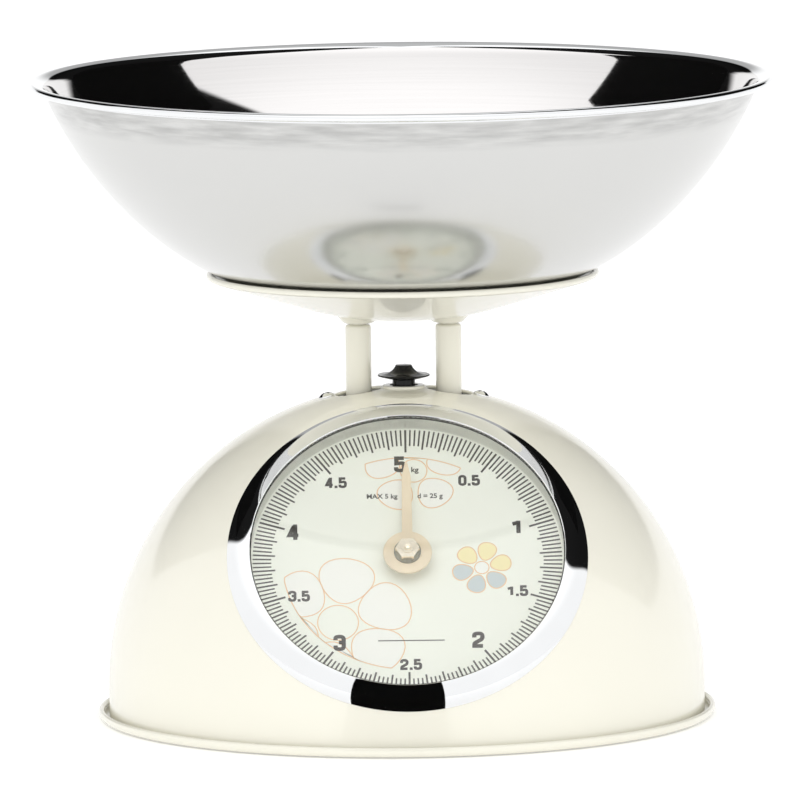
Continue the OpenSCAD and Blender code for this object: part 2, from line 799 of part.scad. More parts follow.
// Yoke in its own frame: pivot at the origin, arms along -Y with a slot at the far end
module lever_form() {
    arm_t = 2;
    difference() {
        union() {
            for (side = [-1, 1]) translate([side * 26 - arm_t / 2, 0, 0]) {
                translate([0, -lever_l - 5, -4]) cube([arm_t, lever_l + 5, 8]);
                rotate([0, 90, 0]) cylinder(r = 4, h = arm_t);
            }
            translate([-26, -30, 2]) cube([52, 16, 2]);
        }
        translate([-40, 0, 0]) rotate([0, 90, 0]) cylinder(r = pivot_r + play, h = 80);
        translate([-40, -lever_l - 0.9, -1.6]) cube([80, 1.8, 3.2]);
        for (end = [-0.9, 0.9]) translate([-40, -lever_l + end, 0]) rotate([0, 90, 0])
            cylinder(r = 1.6, h = 80);
    }
}

module lever(z) {
    translate([0, pivot_y, z]) rotate([-lever_tilt, 0, 0]) lever_form();
}

module upper_lever() color("silver") lever(upper_pivot_z);
module lower_lever() color("silver") lever(lower_pivot_z);

// ---- Zero adjuster ----

// Stem, thin saucer-shaped flange and a crown that narrows in a hollow curve to a flat top
module zero_knob() color("black") {
    difference() {
        rotate_extrude() polygon(concat(
            [[0, knob_low_z], [knob_stem_r, knob_low_z], [knob_stem_r, knob_top_z - 5.7]],
            [[9.9, knob_top_z - 4.4], [10.2, knob_top_z - 4.1], [9.8, knob_top_z - 3.8]],
            arc(7.83, knob_top_z + 1.58, 5.02, 252, 199, 8),
            [[0, knob_top_z]]
        ));
        translate([0, 0, knob_low_z - 1]) cylinder(r = adjuster_r + 0.01, h = 6.2);
    }
}

module adjusting_screw() color("silver") {
    low = hanger_z + hanger_h - hanger_nut - 1.5;
    translate([0, 0, low]) cylinder(r = adjuster_r, h = knob_low_z + 5 - low);
}

// Stirrup on the screw's thread; the spring's head sits in its window
module spring_hanger() color("gray") {
    translate([0, 0, hanger_z]) difference() {
        translate([-7, -7, 0]) cube([14, 14, hanger_h]);
        translate([-4.5, -10, hanger_wall]) cube([9, 20, hanger_h - hanger_wall - hanger_nut]);
        translate([0, 0, hanger_wall + 1]) cylinder(r = adjuster_r + play, h = hanger_h);
        translate([0, 0, -1]) cylinder(r = 1.5, h = hanger_wall + 2);
    }
}

housing_dome();
base_tray();
rubber_feet();
base_screws();
base_brackets();
bezel_ring();
lens();
lens_gasket();
spacer_ring();
dial_plate();
dial_cup();
clamp_ring();
clamp_screws();
shaft_bracket();
bracket_screws();
front_bush();
rear_bush();
rack_guide();
main_frame();
dome_screws();
dome_nuts();
frame_screws();
rear_pillar();
upper_pivot_pin();
lower_pivot_pin();
knob_washer();
platter();
platter_screws();
post_left();
post_right();
carrier();
carrier_screws();
carrier_pins();
rack();
rack_screws();
main_spring();
bowl();
pointer_shaft();
pinion();
pointer_needle();
pointer_washer();
pointer_nut();
shaft_clip();
upper_lever();
lower_lever();
pivot_clips();
zero_knob();
adjusting_screw();
spring_hanger();
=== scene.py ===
"""Looks of the mechanical kitchen scale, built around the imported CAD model.

Lengths are written in millimetres times MM, in the CAD model's own frame: Z up, dial towards -Y.
Pieces of the dial group are modelled in the dial's frame: Z out along the dial's axis, Y up its face.
"""

import json
import math

import bmesh
import bpy
from mathutils import Matrix, Vector


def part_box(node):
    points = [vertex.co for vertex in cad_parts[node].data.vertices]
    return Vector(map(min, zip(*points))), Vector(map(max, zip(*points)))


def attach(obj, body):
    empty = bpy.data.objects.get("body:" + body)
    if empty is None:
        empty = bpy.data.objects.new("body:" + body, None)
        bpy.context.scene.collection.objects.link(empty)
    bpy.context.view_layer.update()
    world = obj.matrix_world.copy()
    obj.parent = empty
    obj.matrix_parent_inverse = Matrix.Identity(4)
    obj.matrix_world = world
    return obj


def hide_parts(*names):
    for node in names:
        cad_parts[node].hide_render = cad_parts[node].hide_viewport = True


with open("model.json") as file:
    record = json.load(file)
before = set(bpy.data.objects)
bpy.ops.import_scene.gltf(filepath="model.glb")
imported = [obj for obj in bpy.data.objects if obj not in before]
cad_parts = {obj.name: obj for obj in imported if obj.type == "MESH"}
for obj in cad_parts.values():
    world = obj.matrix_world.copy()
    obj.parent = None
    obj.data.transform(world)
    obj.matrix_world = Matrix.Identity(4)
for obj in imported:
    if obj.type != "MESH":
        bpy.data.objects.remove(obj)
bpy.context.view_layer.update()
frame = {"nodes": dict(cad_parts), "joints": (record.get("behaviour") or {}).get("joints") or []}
nodes = frame["nodes"]

MM = 0.001


# ---- Places read from the frame ----

def low(node):
    """Lowest corner of a CAD node's box at rest."""
    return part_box(node)[0]


def high(node):
    """Highest corner of a CAD node's box at rest."""
    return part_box(node)[1]


pointer_joint = next(j for j in frame["joints"] if j["name"] == "pointer_turn")
dial_axis = -Vector(pointer_joint["axis"])
pointer_pos = Vector(pointer_joint["pos_m"])
dome_centre = pointer_pos - dial_axis * (pointer_pos.y / dial_axis.y)
dial_up = dial_axis.cross(Vector((1, 0, 0)))
DIAL = Matrix.Translation(dome_centre) @ Matrix((Vector((1, 0, 0)), dial_up, dial_axis)).transposed().to_4x4()

DOME_Z = dome_centre.z
DOME_R = high("housing_dome").x
WALL = 1.2 * MM
POST_X = (low("post_right").x + high("post_right").x) / 2
POST_R = (high("post_right").x - low("post_right").x) / 2
POST_HOLE_R = POST_R + 4 * MM
KNOB_HOLE_R = 5.5 * MM
DIAL_R = 60.2 * MM
DIAL_FACE = 89.0 * MM
BEZEL_R = high("bezel_ring").x
BEZEL_TOP = 98.9 * MM
LENS_EDGE_TOP = BEZEL_TOP - 0.9 * MM
LENS_EDGE_LOW = LENS_EDGE_TOP - 1.3 * MM


# ---- Outlines ----

def arc(cx, cy, r, start, end, steps):
    """Points on an arc, angles in degrees, both ends included."""
    turn = [math.radians(start + (end - start) * i / steps) for i in range(steps + 1)]
    return [(cx + r * math.cos(a), cy + r * math.sin(a)) for a in turn]


def thick(line, t):
    """Closed outline of a sheet of thickness t whose middle follows the line."""
    sides = ([], [])
    for i, (x, y) in enumerate(line):
        ax, ay = line[max(i - 1, 0)]
        bx, by = line[min(i + 1, len(line) - 1)]
        size = math.hypot(bx - ax, by - ay)
        nx, ny = (by - ay) / size, -(bx - ax) / size
        sides[0].append((x + nx * t / 2, y + ny * t / 2))
        sides[1].append((x - nx * t / 2, y - ny * t / 2))
    return sides[0] + sides[1][::-1]


def on_sphere(r, x, y):
    """Height of a sphere of radius r round the dome's centre, above the point (x, y)."""
    return DOME_Z + math.sqrt(r * r - x * x - y * y)


# ---- Meshes ----

class Form:
    """Vertices and faces that shapes are added to, with a material number for each face."""

    def __init__(self):
        self.points, self.faces, self.marks = [], [], []

    def add(self, points, faces, mark=0):
        start = len(self.points)
        self.points += [tuple(p) for p in points]
        self.faces += [tuple(start + i for i in f) for f in faces]
        self.marks += mark if isinstance(mark, list) else [mark] * len(faces)
        return self

    def lathe(self, outline, segments=192, centre=(0, 0), marks=None):
        """Spins a closed outline of (radius, height) about the Z axis through centre.
        marks gives each outline edge's material number."""
        points, rings = [], []
        for r, z in outline:
            if r < 1e-7:
                rings.append([len(points)] * segments)
                points.append((centre[0], centre[1], z))
                continue
            rings.append(list(range(len(points), len(points) + segments)))
            for k in range(segments):
                a = 2 * math.pi * k / segments
                points.append((centre[0] + r * math.cos(a), centre[1] + r * math.sin(a), z))
        faces, face_marks = [], []
        for i, ring in enumerate(rings):
            after = rings[(i + 1) % len(rings)]
            if ring[0] == ring[-1] and after[0] == after[-1]:
                continue
            for k in range(segments):
                j = (k + 1) % segments
                corners = dict.fromkeys((ring[k], ring[j], after[j], after[k]))
                faces.append(tuple(corners))
                face_marks.append(marks[i] if marks else 0)
        return self.add(points, faces, face_marks)

    def tube(self, path, r, sides=12, mark=0):
        """A closed ring of round section along a closed path of points."""
        path = [Vector(p) for p in path]
        points, faces, count = [], [], len(path)
        for i, p in enumerate(path):
            ahead = (path[(i + 1) % count] - path[i - 1]).normalized()
            across = ahead.cross(Vector((0, 0, 1))).normalized()
            upright = across.cross(ahead)
            for k in range(sides):
                a = 2 * math.pi * k / sides
                points.append(p + r * (math.cos(a) * across + math.sin(a) * upright))
        for i in range(count):
            for k in range(sides):
                a, b = i * sides + k, i * sides + (k + 1) % sides
                c, d = (i + 1) % count * sides + (k + 1) % sides, (i + 1) % count * sides + k
                faces.append((a, b, c, d))
        return self.add(points, faces, mark)

    def ribbon(self, path, width, height, depth, closed=False, mark=0):
        """A flat stroke of even width along a path in the XY plane, from height down by depth."""
        path = [Vector(p) for p in path]
        count = len(path)
        points, faces = [], []
        for i, p in enumerate(path):
            before = path[i - 1] if i or closed else p
            after = path[(i + 1) % count] if i < count - 1 or closed else p
            a = (p - before).normalized() if before != p else (after - p).normalized()
            b = (after - p).normalized() if after != p else a
            middle = (a + b).normalized()
            side = Vector((-middle.y, middle.x)) * (width / 2 / max(0.4, middle.dot(a)))
            for z in (height, height - depth):
                points += [(*(p + side), z), (*(p - side), z)]
        for i in range(count if closed else count - 1):
            a, b = 4 * i, 4 * ((i + 1) % count)
            faces += [(a, a + 1, b + 1, b), (a + 2, b + 2, b + 3, a + 3)]
            faces += [(a, b, b + 2, a + 2), (a + 1, a + 3, b + 3, b + 1)]
        if not closed:
            last = 4 * (count - 1)
            faces += [(0, 2, 3, 1), (last, last + 1, last + 3, last + 2)]
        return self.add(points, faces, mark)

    def plate(self, outline, height, depth, mark=0):
        """A flat solid of any outline in the XY plane, from height down by depth."""
        count = len(outline)
        points = [(x, y, height) for x, y in outline] + [(x, y, height - depth) for x, y in outline]
        faces = [tuple(range(count)), tuple(range(2 * count - 1, count - 1, -1))]
        faces += [(i, count + i, count + (i + 1) % count, (i + 1) % count) for i in range(count)]
        return self.add(points, faces, mark)

    def mesh(self, name, sharp=35, recalculate=True):
        mesh = bpy.data.meshes.new(name)
        mesh.from_pydata(self.points, [], self.faces)
        mesh.polygons.foreach_set("material_index", self.marks)
        if recalculate:
            bm = bmesh.new()
            bm.from_mesh(mesh)
            bmesh.ops.recalc_face_normals(bm, faces=bm.faces)
            bm.to_mesh(mesh)
            bm.free()
        mesh.shade_smooth()
        mesh.set_sharp_from_angle(angle=math.radians(sharp))
        return mesh


def piece(name, mesh, body, materials, replaces=(), matrix=None):
    """Puts a finished mesh in the scene as a piece of the object."""
    obj = bpy.data.objects.new(name, mesh)
    bpy.context.scene.collection.objects.link(obj)
    for material in materials:
        mesh.materials.append(material)
    if matrix is not None:
        obj.matrix_world = matrix
    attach(obj, body)
    if replaces:
        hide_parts(*replaces)
    return obj


def applied(obj):
    """The object's mesh with its modifiers applied, and the object itself taken away."""
    bpy.context.view_layer.update()
    mesh = bpy.data.meshes.new_from_object(obj.evaluated_get(bpy.context.evaluated_depsgraph_get()))
    bpy.data.objects.remove(obj)
    return mesh


def loose(name, mesh):
    """A scene object that isn't yet a piece."""
    obj = bpy.data.objects.new(name, mesh)
    bpy.context.scene.collection.objects.link(obj)
    return obj


def rounded(mesh, width):
    """The mesh with every edge sharper than 30 degrees bevelled."""
    obj = loose("bevelling", mesh)
    bevel = obj.modifiers.new("bevel", "BEVEL")
    bevel.width = width
    bevel.segments = 3
    bevel.limit_method = "ANGLE"
    bevel.angle_limit = math.radians(30)
    result = applied(obj)
    result.shade_smooth()
    result.set_sharp_from_angle(angle=math.radians(50))
    return result


# ---- Materials ----

class Nodes:
    """Short names for building one material's nodes."""

    def __init__(self, name):
        self.material = bpy.data.materials.new(name)
        self.material.use_nodes = True
        self.tree = self.material.node_tree
        self.tree.nodes.clear()
        self.output = self.tree.nodes.new("ShaderNodeOutputMaterial")

    def add(self, kind, inputs=(), **settings):
        node = self.tree.nodes.new(kind)
        for key, value in settings.items():
            setattr(node, key, value)
        for key, value in dict(inputs).items():
            if isinstance(value, bpy.types.NodeSocket):
                self.tree.links.new(value, node.inputs[key])
            else:
                node.inputs[key].default_value = value
        return node

    def math(self, operation, a, b=0.0):
        return self.add("ShaderNodeMath", {0: a, 1: b}, operation=operation).outputs[0]

    def spread(self, value, low, high):
        """Turns a noise of about 0.3 to 0.7 into values from low to high."""
        node = self.add("ShaderNodeMapRange", {"Value": value, "From Min": 0.3, "From Max": 0.7,
                                               "To Min": low, "To Max": high})
        return node.outputs[0]

    def noise(self, vector, scale, detail=3.0):
        inputs = {"Vector": vector, "Scale": scale, "Detail": detail}
        return self.add("ShaderNodeTexNoise", inputs).outputs[0]

    def place(self):
        """The piece's own coordinates, in metres."""
        return self.add("ShaderNodeTexCoord").outputs["Object"]

    def turned(self, round_scale, along_scale):
        """Coordinates that run long round the Z axis and short across it, as turning marks do."""
        parts = self.add("ShaderNodeSeparateXYZ", {"Vector": self.place()})
        x, y, z = parts.outputs
        r = self.math("SQRT", self.math("ADD", self.math("MULTIPLY", x, x), self.math("MULTIPLY", y, y)))
        r_safe = self.math("MAXIMUM", r, 1e-5)
        along = self.math("MULTIPLY", self.math("ADD", r, z), along_scale)
        cos = self.math("MULTIPLY", self.math("DIVIDE", x, r_safe), round_scale)
        sin = self.math("MULTIPLY", self.math("DIVIDE", y, r_safe), round_scale)
        return self.add("ShaderNodeCombineXYZ", {0: cos, 1: sin, 2: along}).outputs[0]

    def tint(self, factor, a, b):
        """A colour between a and b."""
        node = self.add("ShaderNodeMix", data_type="RGBA")
        self.tree.links.new(factor, node.inputs[0])
        node.inputs[6].default_value = (*a, 1)
        node.inputs[7].default_value = (*b, 1)
        return node.outputs[2]

    def bump(self, height, strength, distance, normal=None):
        inputs = {"Height": height, "Strength": strength, "Distance": distance}
        if normal:
            inputs["Normal"] = normal
        return self.add("ShaderNodeBump", inputs).outputs[0]

    def surface(self, **sockets):
        """The Principled shader, with its sockets named in plain words."""
        names = {k.replace("_", " ").title().replace("Ior", "IOR"): v for k, v in sockets.items()}
        shader = self.add("ShaderNodeBsdfPrincipled", names)
        self.tree.links.new(shader.outputs[0], self.output.inputs[0])
        return self.material


def srgb(text):
    """A linear colour from a web colour such as f4efdc."""
    values = [int(text[i:i + 2], 16) / 255 for i in (0, 2, 4)]
    return tuple(v / 12.92 if v <= 0.04045 else ((v + 0.055) / 1.055) ** 2.4 for v in values)


def shade(colour, share):
    """The colour darkened to a share of itself."""
    return tuple(v * share for v in colour)


def cream_enamel():
    """Stoved enamel: glossy, with a faint orange peel and a faint mottle."""
    n = Nodes("cream_paint")
    place = n.place()
    cream = (0.83, 0.81, 0.705)
    mottle = n.spread(n.noise(place, 14), 0, 1)
    peel = n.noise(place, 420, 2)
    return n.surface(
        base_color=n.tint(mottle, cream, shade(cream, 0.975)),
        roughness=n.spread(n.noise(place, 160), 0.3, 0.4),
        normal=n.bump(peel, 0.12, 0.05 * MM),
        coat_weight=0.7, coat_roughness=0.06, coat_ior=1.5)


def spun_steel():
    """Satin steel with spinning marks, and a band below the rim that is darker and a little smoother in broad
    patches, fading out lower down.
    """
    n = Nodes("stainless_satin")
    marks = n.noise(n.turned(2.2, 1500), 1.0, 4)
    broad = n.noise(n.turned(7, 300), 1.0, 4)
    height = n.add("ShaderNodeSeparateXYZ", {"Vector": n.place()}).outputs[2]
    rim, faded, full = high("bowl").z, 16 * MM, 11 * MM
    band = n.add("ShaderNodeMapRange", {"Value": height, "From Min": rim - faded, "From Max": rim - full})
    # Broad patches, darker and a little smoother, in a band from the rim down to 11 mm below it, fading out
    # by 16 mm.
    dark_rim_band = n.math("MULTIPLY", band.outputs[0], n.spread(broad, 0, 1))
    steel = (0.66, 0.66, 0.65)
    fine = n.spread(marks, 0.13, 0.19)
    return n.surface(
        base_color=n.tint(dark_rim_band, steel, shade(steel, 0.72)),
        metallic=1.0, roughness=n.math("SUBTRACT", fine, n.math("MULTIPLY", dark_rim_band, 0.05)),
        normal=n.bump(marks, 0.035, 0.02 * MM),
        anisotropic=0.2, tangent=n.add("ShaderNodeTangent", direction_type="RADIAL", axis="Z").outputs[0])


def mirror_steel():
    """Inside of the bowl: bright polished steel with faint turning marks."""
    n = Nodes("stainless_bright")
    marks = n.noise(n.turned(1.6, 900), 1.0, 4)
    steel = (0.75, 0.735, 0.73)
    return n.surface(
        base_color=n.tint(n.spread(marks, 0, 1), steel, shade(steel, 0.965)),
        metallic=1.0, roughness=n.spread(marks, 0.035, 0.06),
        normal=n.bump(marks, 0.03, 0.01 * MM))


def chrome(name="chrome", colour=(0.86, 0.87, 0.88), rough=(0.02, 0.05)):
    """Bright plating with barely visible polishing marks."""
    n = Nodes(name)
    wave = n.noise(n.place(), 55, 2)
    return n.surface(
        base_color=n.tint(n.spread(wave, 0, 1), colour, shade(colour, 0.97)),
        metallic=1.0, roughness=n.spread(n.noise(n.place(), 900), *rough),
        normal=n.bump(wave, 0.06, 0.04 * MM))


def plain_metal(name, colour, rough, grain=700):
    """Rolled, pressed or turned metal with a fine grain."""
    n = Nodes(name)
    place = n.place()
    grain_noise = n.noise(place, grain, 4)
    return n.surface(
        base_color=n.tint(n.spread(n.noise(place, 60), 0, 1), colour, shade(colour, 0.88)),
        metallic=1.0, roughness=n.spread(grain_noise, rough - 0.06, rough + 0.06),
        normal=n.bump(grain_noise, 0.15, 0.02 * MM))


def moulded(name, colour, rough, grain=600, depth=0.03, shine=0.5):
    """Moulded plastic or rubber with a fine grain."""
    n = Nodes(name)
    place = n.place()
    grain_noise = n.noise(place, grain, 3)
    return n.surface(
        base_color=n.tint(n.spread(n.noise(place, 80), 0, 1), colour, shade(colour, 0.86)),
        roughness=n.spread(grain_noise, rough - 0.07, rough + 0.07), specular_ior_level=shine,
        normal=n.bump(grain_noise, 0.2, depth * MM))


def printed(name, colour, rough=0.5):
    """Ink or coated card: matt, with a faint fibre."""
    n = Nodes(name)
    fibre = n.noise(n.place(), 1600, 3)
    return n.surface(
        base_color=n.tint(n.spread(fibre, 0, 1), colour, shade(colour, 0.97)),
        roughness=n.spread(n.noise(n.place(), 500), rough - 0.05, rough + 0.05),
        normal=n.bump(fibre, 0.05, 0.01 * MM))


def clear_window():
    """Clear acrylic that lets lamps through to what lies behind it."""
    n = Nodes("lens_clear")
    ripple = n.noise(n.place(), 40, 1)
    glass = n.add("ShaderNodeBsdfPrincipled", {
        "Base Color": (0.985, 0.99, 0.98, 1), "Roughness": n.spread(n.noise(n.place(), 300), 0.0, 0.02),
        "IOR": 1.49, "Transmission Weight": 1.0, "Normal": n.bump(ripple, 0.03, 0.05 * MM)})
    through = n.add("ShaderNodeBsdfTransparent", {"Color": (0.97, 0.975, 0.965, 1)})
    shadow = n.add("ShaderNodeLightPath").outputs["Is Shadow Ray"]
    mix = n.add("ShaderNodeMixShader", {0: shadow, 1: glass.outputs[0], 2: through.outputs[0]})
    n.tree.links.new(mix.outputs[0], n.output.inputs[0])
    return n.material


cream = cream_enamel()
satin = spun_steel()
bright = mirror_steel()
chromed = chrome()
# Plating for the pointer's nut: its warm cream tint is partly nickel's own colour and partly a painted
# reflection of the cream parts round it.
nickel = chrome("nickel", (0.95, 0.87, 0.73), (0.15, 0.22))
band_metal = plain_metal("band_metal", (0.90, 0.90, 0.87), 0.38)
washer_steel = plain_metal("washer_steel", (0.26, 0.26, 0.22), 0.3)
clear = clear_window()
dial_card = printed("dial_print", srgb("fafcf2"))
dial_ink = printed("dial_ink", srgb("3c3732"))
peach_ink = printed("peach_ink", srgb("efc592"))
yellow_ink = printed("yellow_ink", srgb("fdf1bd"))
blue_ink = printed("blue_ink", srgb("cfd8da"))
white_ink = printed("white_ink", srgb("fcfcf6"))
pointer_paint = moulded("pointer_paint", srgb("f7e6c9"), 0.38, 500, 0.015)
black_plastic = moulded("black_plastic", (0.008, 0.008, 0.008), 0.16, 500, 0.02, 0.25)
nylon = moulded("nylon", (0.78, 0.76, 0.70), 0.45)
rubber = moulded("rubber", (0.035, 0.035, 0.035), 0.75, 900, 0.05)
brass = plain_metal("brass", (0.72, 0.53, 0.25), 0.28)
spring_steel = plain_metal("spring_steel", (0.32, 0.33, 0.35), 0.30)
zinc = plain_metal("zinc_steel", (0.62, 0.63, 0.64), 0.34, 260)

by_slot = {"cream_paint": cream, "stainless": satin, "chrome": chromed, "nickel": nickel,
           "lens_clear": clear, "dial_print": dial_card, "pointer_paint": pointer_paint,
           "black_plastic": black_plastic, "nylon": nylon, "rubber": rubber, "brass": brass,
           "spring_steel": spring_steel, "zinc_steel": zinc}
for node in nodes.values():
    for holder in node.material_slots:
        holder.material = by_slot[holder.material.name.split(".")[0]]
nodes["pointer_washer"].material_slots[0].material = washer_steel


# ---- Housing ----

def cut(mesh, cutters):
    """The mesh less each cutter mesh."""
    obj = loose("cutting", mesh)
    tools = [loose("cutter", cutter) for cutter in cutters]
    for tool in tools:
        step = obj.modifiers.new("cut", "BOOLEAN")
        step.operation = "DIFFERENCE"
        step.solver = "EXACT"
        step.object = tool
    result = applied(obj)
    for tool in tools:
        bpy.data.objects.remove(tool)
    return result


def drill(r, low_z, high_z, centre=(0, 0), matrix=None):
    """A cylinder to cut with."""
    mesh = Form().lathe([(0, low_z), (r, low_z), (r, high_z), (0, high_z)], 128, centre).mesh("drill")
    if matrix is not None:
        mesh.transform(matrix)
    return mesh


def spherical_normals(mesh, centre, radii):
    """Gives the faces that lie on a dome of one of the radii the normals of the true dome."""
    normals = [loop.vector.copy() for loop in mesh.corner_normals]
    for face in mesh.polygons:
        rays = []
        for index in face.vertices:
            ray = mesh.vertices[index].co - centre
            ray.z = max(ray.z, 0)
            rays.append(ray)
        for r in radii:
            if all(abs(ray.length - r) < 0.01 * MM for ray in rays):
                side = 1 if face.normal.dot(rays[0]) > 0 else -1
                for loop, ray in zip(face.loop_indices, rays):
                    normals[loop] = side * ray.normalized()
    mesh.normals_split_custom_set(normals)


def build_dome():
    """Spun dome with a rolled hem at its foot and round each post hole, and a collar for the knob."""
    inner_r, hem = DOME_R - WALL, WALL / 2
    skirt = low("housing_dome").z
    outline = arc(DOME_R - hem, skirt + hem, hem, 180, 360, 8)
    outline += arc(0, DOME_Z, DOME_R, 0, 90, 110)
    outline += arc(0, DOME_Z, inner_r, 90, 0, 110)
    shell = Form().lathe(outline, 288).mesh("shell")
    holes = [((side * POST_X, 0), POST_HOLE_R) for side in (-1, 1)] + [((0, 0), KNOB_HOLE_R)]
    cutters = [drill(r + hem, DOME_R / 2, 2 * DOME_R, centre) for centre, r in holes]
    dial_hole_r = DIAL_R + 2.7 * MM
    cutters.append(drill(dial_hole_r, DOME_R / 2, 2 * DOME_R, matrix=DIAL))
    shell = cut(shell, cutters)
    form = Form()
    form.add([v.co for v in shell.vertices], [tuple(p.vertices) for p in shell.polygons])
    for (cx, cy), r in holes:
        edge = [(cx + x, cy + y) for x, y in arc(0, 0, r + hem, 0, 360, 96)[:-1]]
        form.tube([(x, y, on_sphere(DOME_R - hem, x, y)) for x, y in edge], hem, 16)
    collar_r, collar_rise, collar_edge, sunk = 8.4 * MM, 0.9 * MM, 0.6 * MM, 0.5 * MM
    bore, base = KNOB_HOLE_R, on_sphere(DOME_R, collar_r, 0)
    turn_z = base + collar_rise - collar_edge
    collar = [(bore, base - sunk), (collar_r, base - sunk), (collar_r, turn_z)]
    collar += arc(collar_r - collar_edge, turn_z, collar_edge, 15, 90, 5)
    collar += [(bore + 0.2 * MM, base + collar_rise), (bore, base + collar_rise - 0.2 * MM)]
    form.lathe(collar, 96)
    mesh = form.mesh("housing_dome_shell", recalculate=False)
    spherical_normals(mesh, dome_centre, (DOME_R, inner_r))
    piece("housing_dome_shell", mesh, "housing", [cream], ["housing_dome"])


def build_tray():
    """Pressed tray: flat floor, a step down near the edge and a rolled rim."""
    t, r = 1.0 * MM, high("base_tray").x
    floor, step_r = low("base_tray").z + 2.2 * MM, 113 * MM
    bottom = low("base_tray").z + t / 2
    bend, curl, corner = 0.8 * MM, 0.55 * MM, 1.9 * MM
    line = [(0, floor)]
    line += arc(step_r - 2 * bend, floor - bend, bend, 90, 0, 6)
    line += arc(step_r, bottom + bend, bend, 180, 270, 6)
    line += arc(r - t / 2 - corner, bottom + corner, corner, 270, 360, 12)
    line += arc(r - t / 2 - curl, high("base_tray").z - t / 2 - curl, curl, 0, 250, 20)
    mesh = Form().lathe(thick(line, t), 256).mesh("base_tray_pressing", 60)
    piece("base_tray_pressing", mesh, "housing", [cream], ["base_tray"])


# ---- Dial group, in the dial's frame ----

def build_bezel():
    """Crown in a shallow arc, with a flared lip over the lens and a thin edge on the dome."""
    seat, inner = math.sqrt(DOME_R ** 2 - BEZEL_R ** 2), DIAL_R + 0.6 * MM
    edge, bulge = 0.4 * MM, 0.8 * MM
    lip_base, lip_mid, lip_top = LENS_EDGE_TOP + 0.05 * MM, BEZEL_TOP - 0.3 * MM, BEZEL_TOP - 0.08 * MM
    rise, run = BEZEL_TOP - seat - edge, BEZEL_R - inner
    chord = math.hypot(rise, run)
    crown_r = (chord ** 2 / 4 + bulge ** 2) / (2 * bulge)
    middle, half = math.degrees(math.atan2(run, rise)), math.degrees(math.asin(chord / 2 / crown_r))
    back = crown_r - bulge
    outline = [(DIAL_R, lip_base), (DIAL_R + 0.3 * MM, lip_mid), (DIAL_R + 0.42 * MM, lip_top)]
    outline += arc((BEZEL_R + inner) / 2 - back * rise / chord,
                   BEZEL_TOP - rise / 2 - back * run / chord, crown_r, middle + half, middle - half, 40)
    outline += [(BEZEL_R, seat + 0.1 * MM), (BEZEL_R - 0.5 * MM, seat - 0.4 * MM),
                (DIAL_R + 3 * MM, seat + 1.5 * MM), (DIAL_R + 1.5 * MM, LENS_EDGE_TOP)]
    mesh = Form().lathe(outline, 288).mesh("bezel_crown", 25)
    piece("bezel_crown", mesh, "housing", [chromed], ["bezel_ring"], DIAL)


def build_spacer():
    """Bright band between the dial and the window."""
    top, inner, outer = LENS_EDGE_LOW - 0.7 * MM, DIAL_R, DIAL_R + 0.6 * MM
    base = DIAL_FACE + 0.05 * MM
    outline = [(inner, base), (outer, base), (outer, top), (inner, top)]
    mesh = Form().lathe(outline, 256).mesh("spacer_band")
    piece("spacer_band", mesh, "housing", [band_metal], ["spacer_ring"], DIAL)


def build_lens():
    """Domed window between two spheres, with a plain edge that the bezel holds."""
    edge_r, rise, wall = DIAL_R + 0.6 * MM, 3.6 * MM, 1.6 * MM
    inner_r = (edge_r ** 2 + rise ** 2) / (2 * rise)
    outer_r, centre = inner_r + wall, LENS_EDGE_LOW + rise - inner_r
    outer_end = math.degrees(math.acos((DIAL_R - 0.1 * MM) / outer_r))
    inner_end = math.degrees(math.acos(edge_r / inner_r))
    outline = arc(0, centre, inner_r, 90, inner_end, 40)
    outline += [(edge_r, LENS_EDGE_TOP), (DIAL_R - 0.1 * MM, LENS_EDGE_TOP)]
    outline += arc(0, centre, outer_r, outer_end, 90, 40)
    mesh = Form().lathe(outline, 256).mesh("lens_window", 20)
    piece("lens_window", mesh, "housing", [clear], ["lens"], DIAL)


# Strokes of each numeral on a cell 1 wide and 1 high: (x, y, corner radius)
STROKES = {
    "0": [[(0, 0, 0.5), (1, 0, 0.5), (1, 1, 0.5), (0, 1, 0.5)]],
    "1": [[(0.72, 0, 0), (0.72, 1, 0)], [(0.0, 0.74, 0), (0.72, 0.86, 0)]],
    "2": [[(0, 0.68, 0), (0, 1, 0.45), (1, 1, 0.45), (1, 0.56, 0.3), (0, 0.22, 0.2), (0, 0, 0),
           (1.05, 0, 0)]],
    "3": [[(0, 0.72, 0), (0, 1, 0.45), (1, 1, 0.45), (1, 0.53, 0.2), (0.4, 0.53, 0)],
          [(0.4, 0.53, 0), (1, 0.53, 0.2), (1, 0, 0.45), (0, 0, 0.45), (0, 0.29, 0)]],
    "4": [[(0.74, -0.12, 0), (0.74, 1.12, 0)], [(0.60, 1.0, 0), (0.02, 0.24, 0), (1.12, 0.24, 0)]],
    "5": [[(0.98, 1, 0), (0.04, 1, 0), (0.04, 0.56, 0), (1, 0.62, 0.4), (1, 0, 0.45), (0, 0, 0.45),
           (0, 0.27, 0)]],
}


def softened(corners, closed):
    """The path through corners of (x, y, radius), each turned by a small curve of that radius."""
    path, count = [], len(corners)
    for i, (x, y, r) in enumerate(corners):
        corner = Vector((x, y))
        if not r:
            path.append(corner)
            continue
        before = Vector(corners[i - 1][:2]) if i or closed else corner
        after = Vector(corners[(i + 1) % count][:2])
        reach = [min(r, (end - corner).length / 2) for end in (before, after)]
        start = corner + (before - corner).normalized() * reach[0]
        end = corner + (after - corner).normalized() * reach[1]
        steps = 6
        for step in range(steps + 1):
            t = step / steps
            path.append(start * (1 - t) ** 2 + corner * 2 * t * (1 - t) + end * t * t)
    return path


INK_TOP = DIAL_FACE + 0.03 * MM
INK_DEPTH = 0.025 * MM


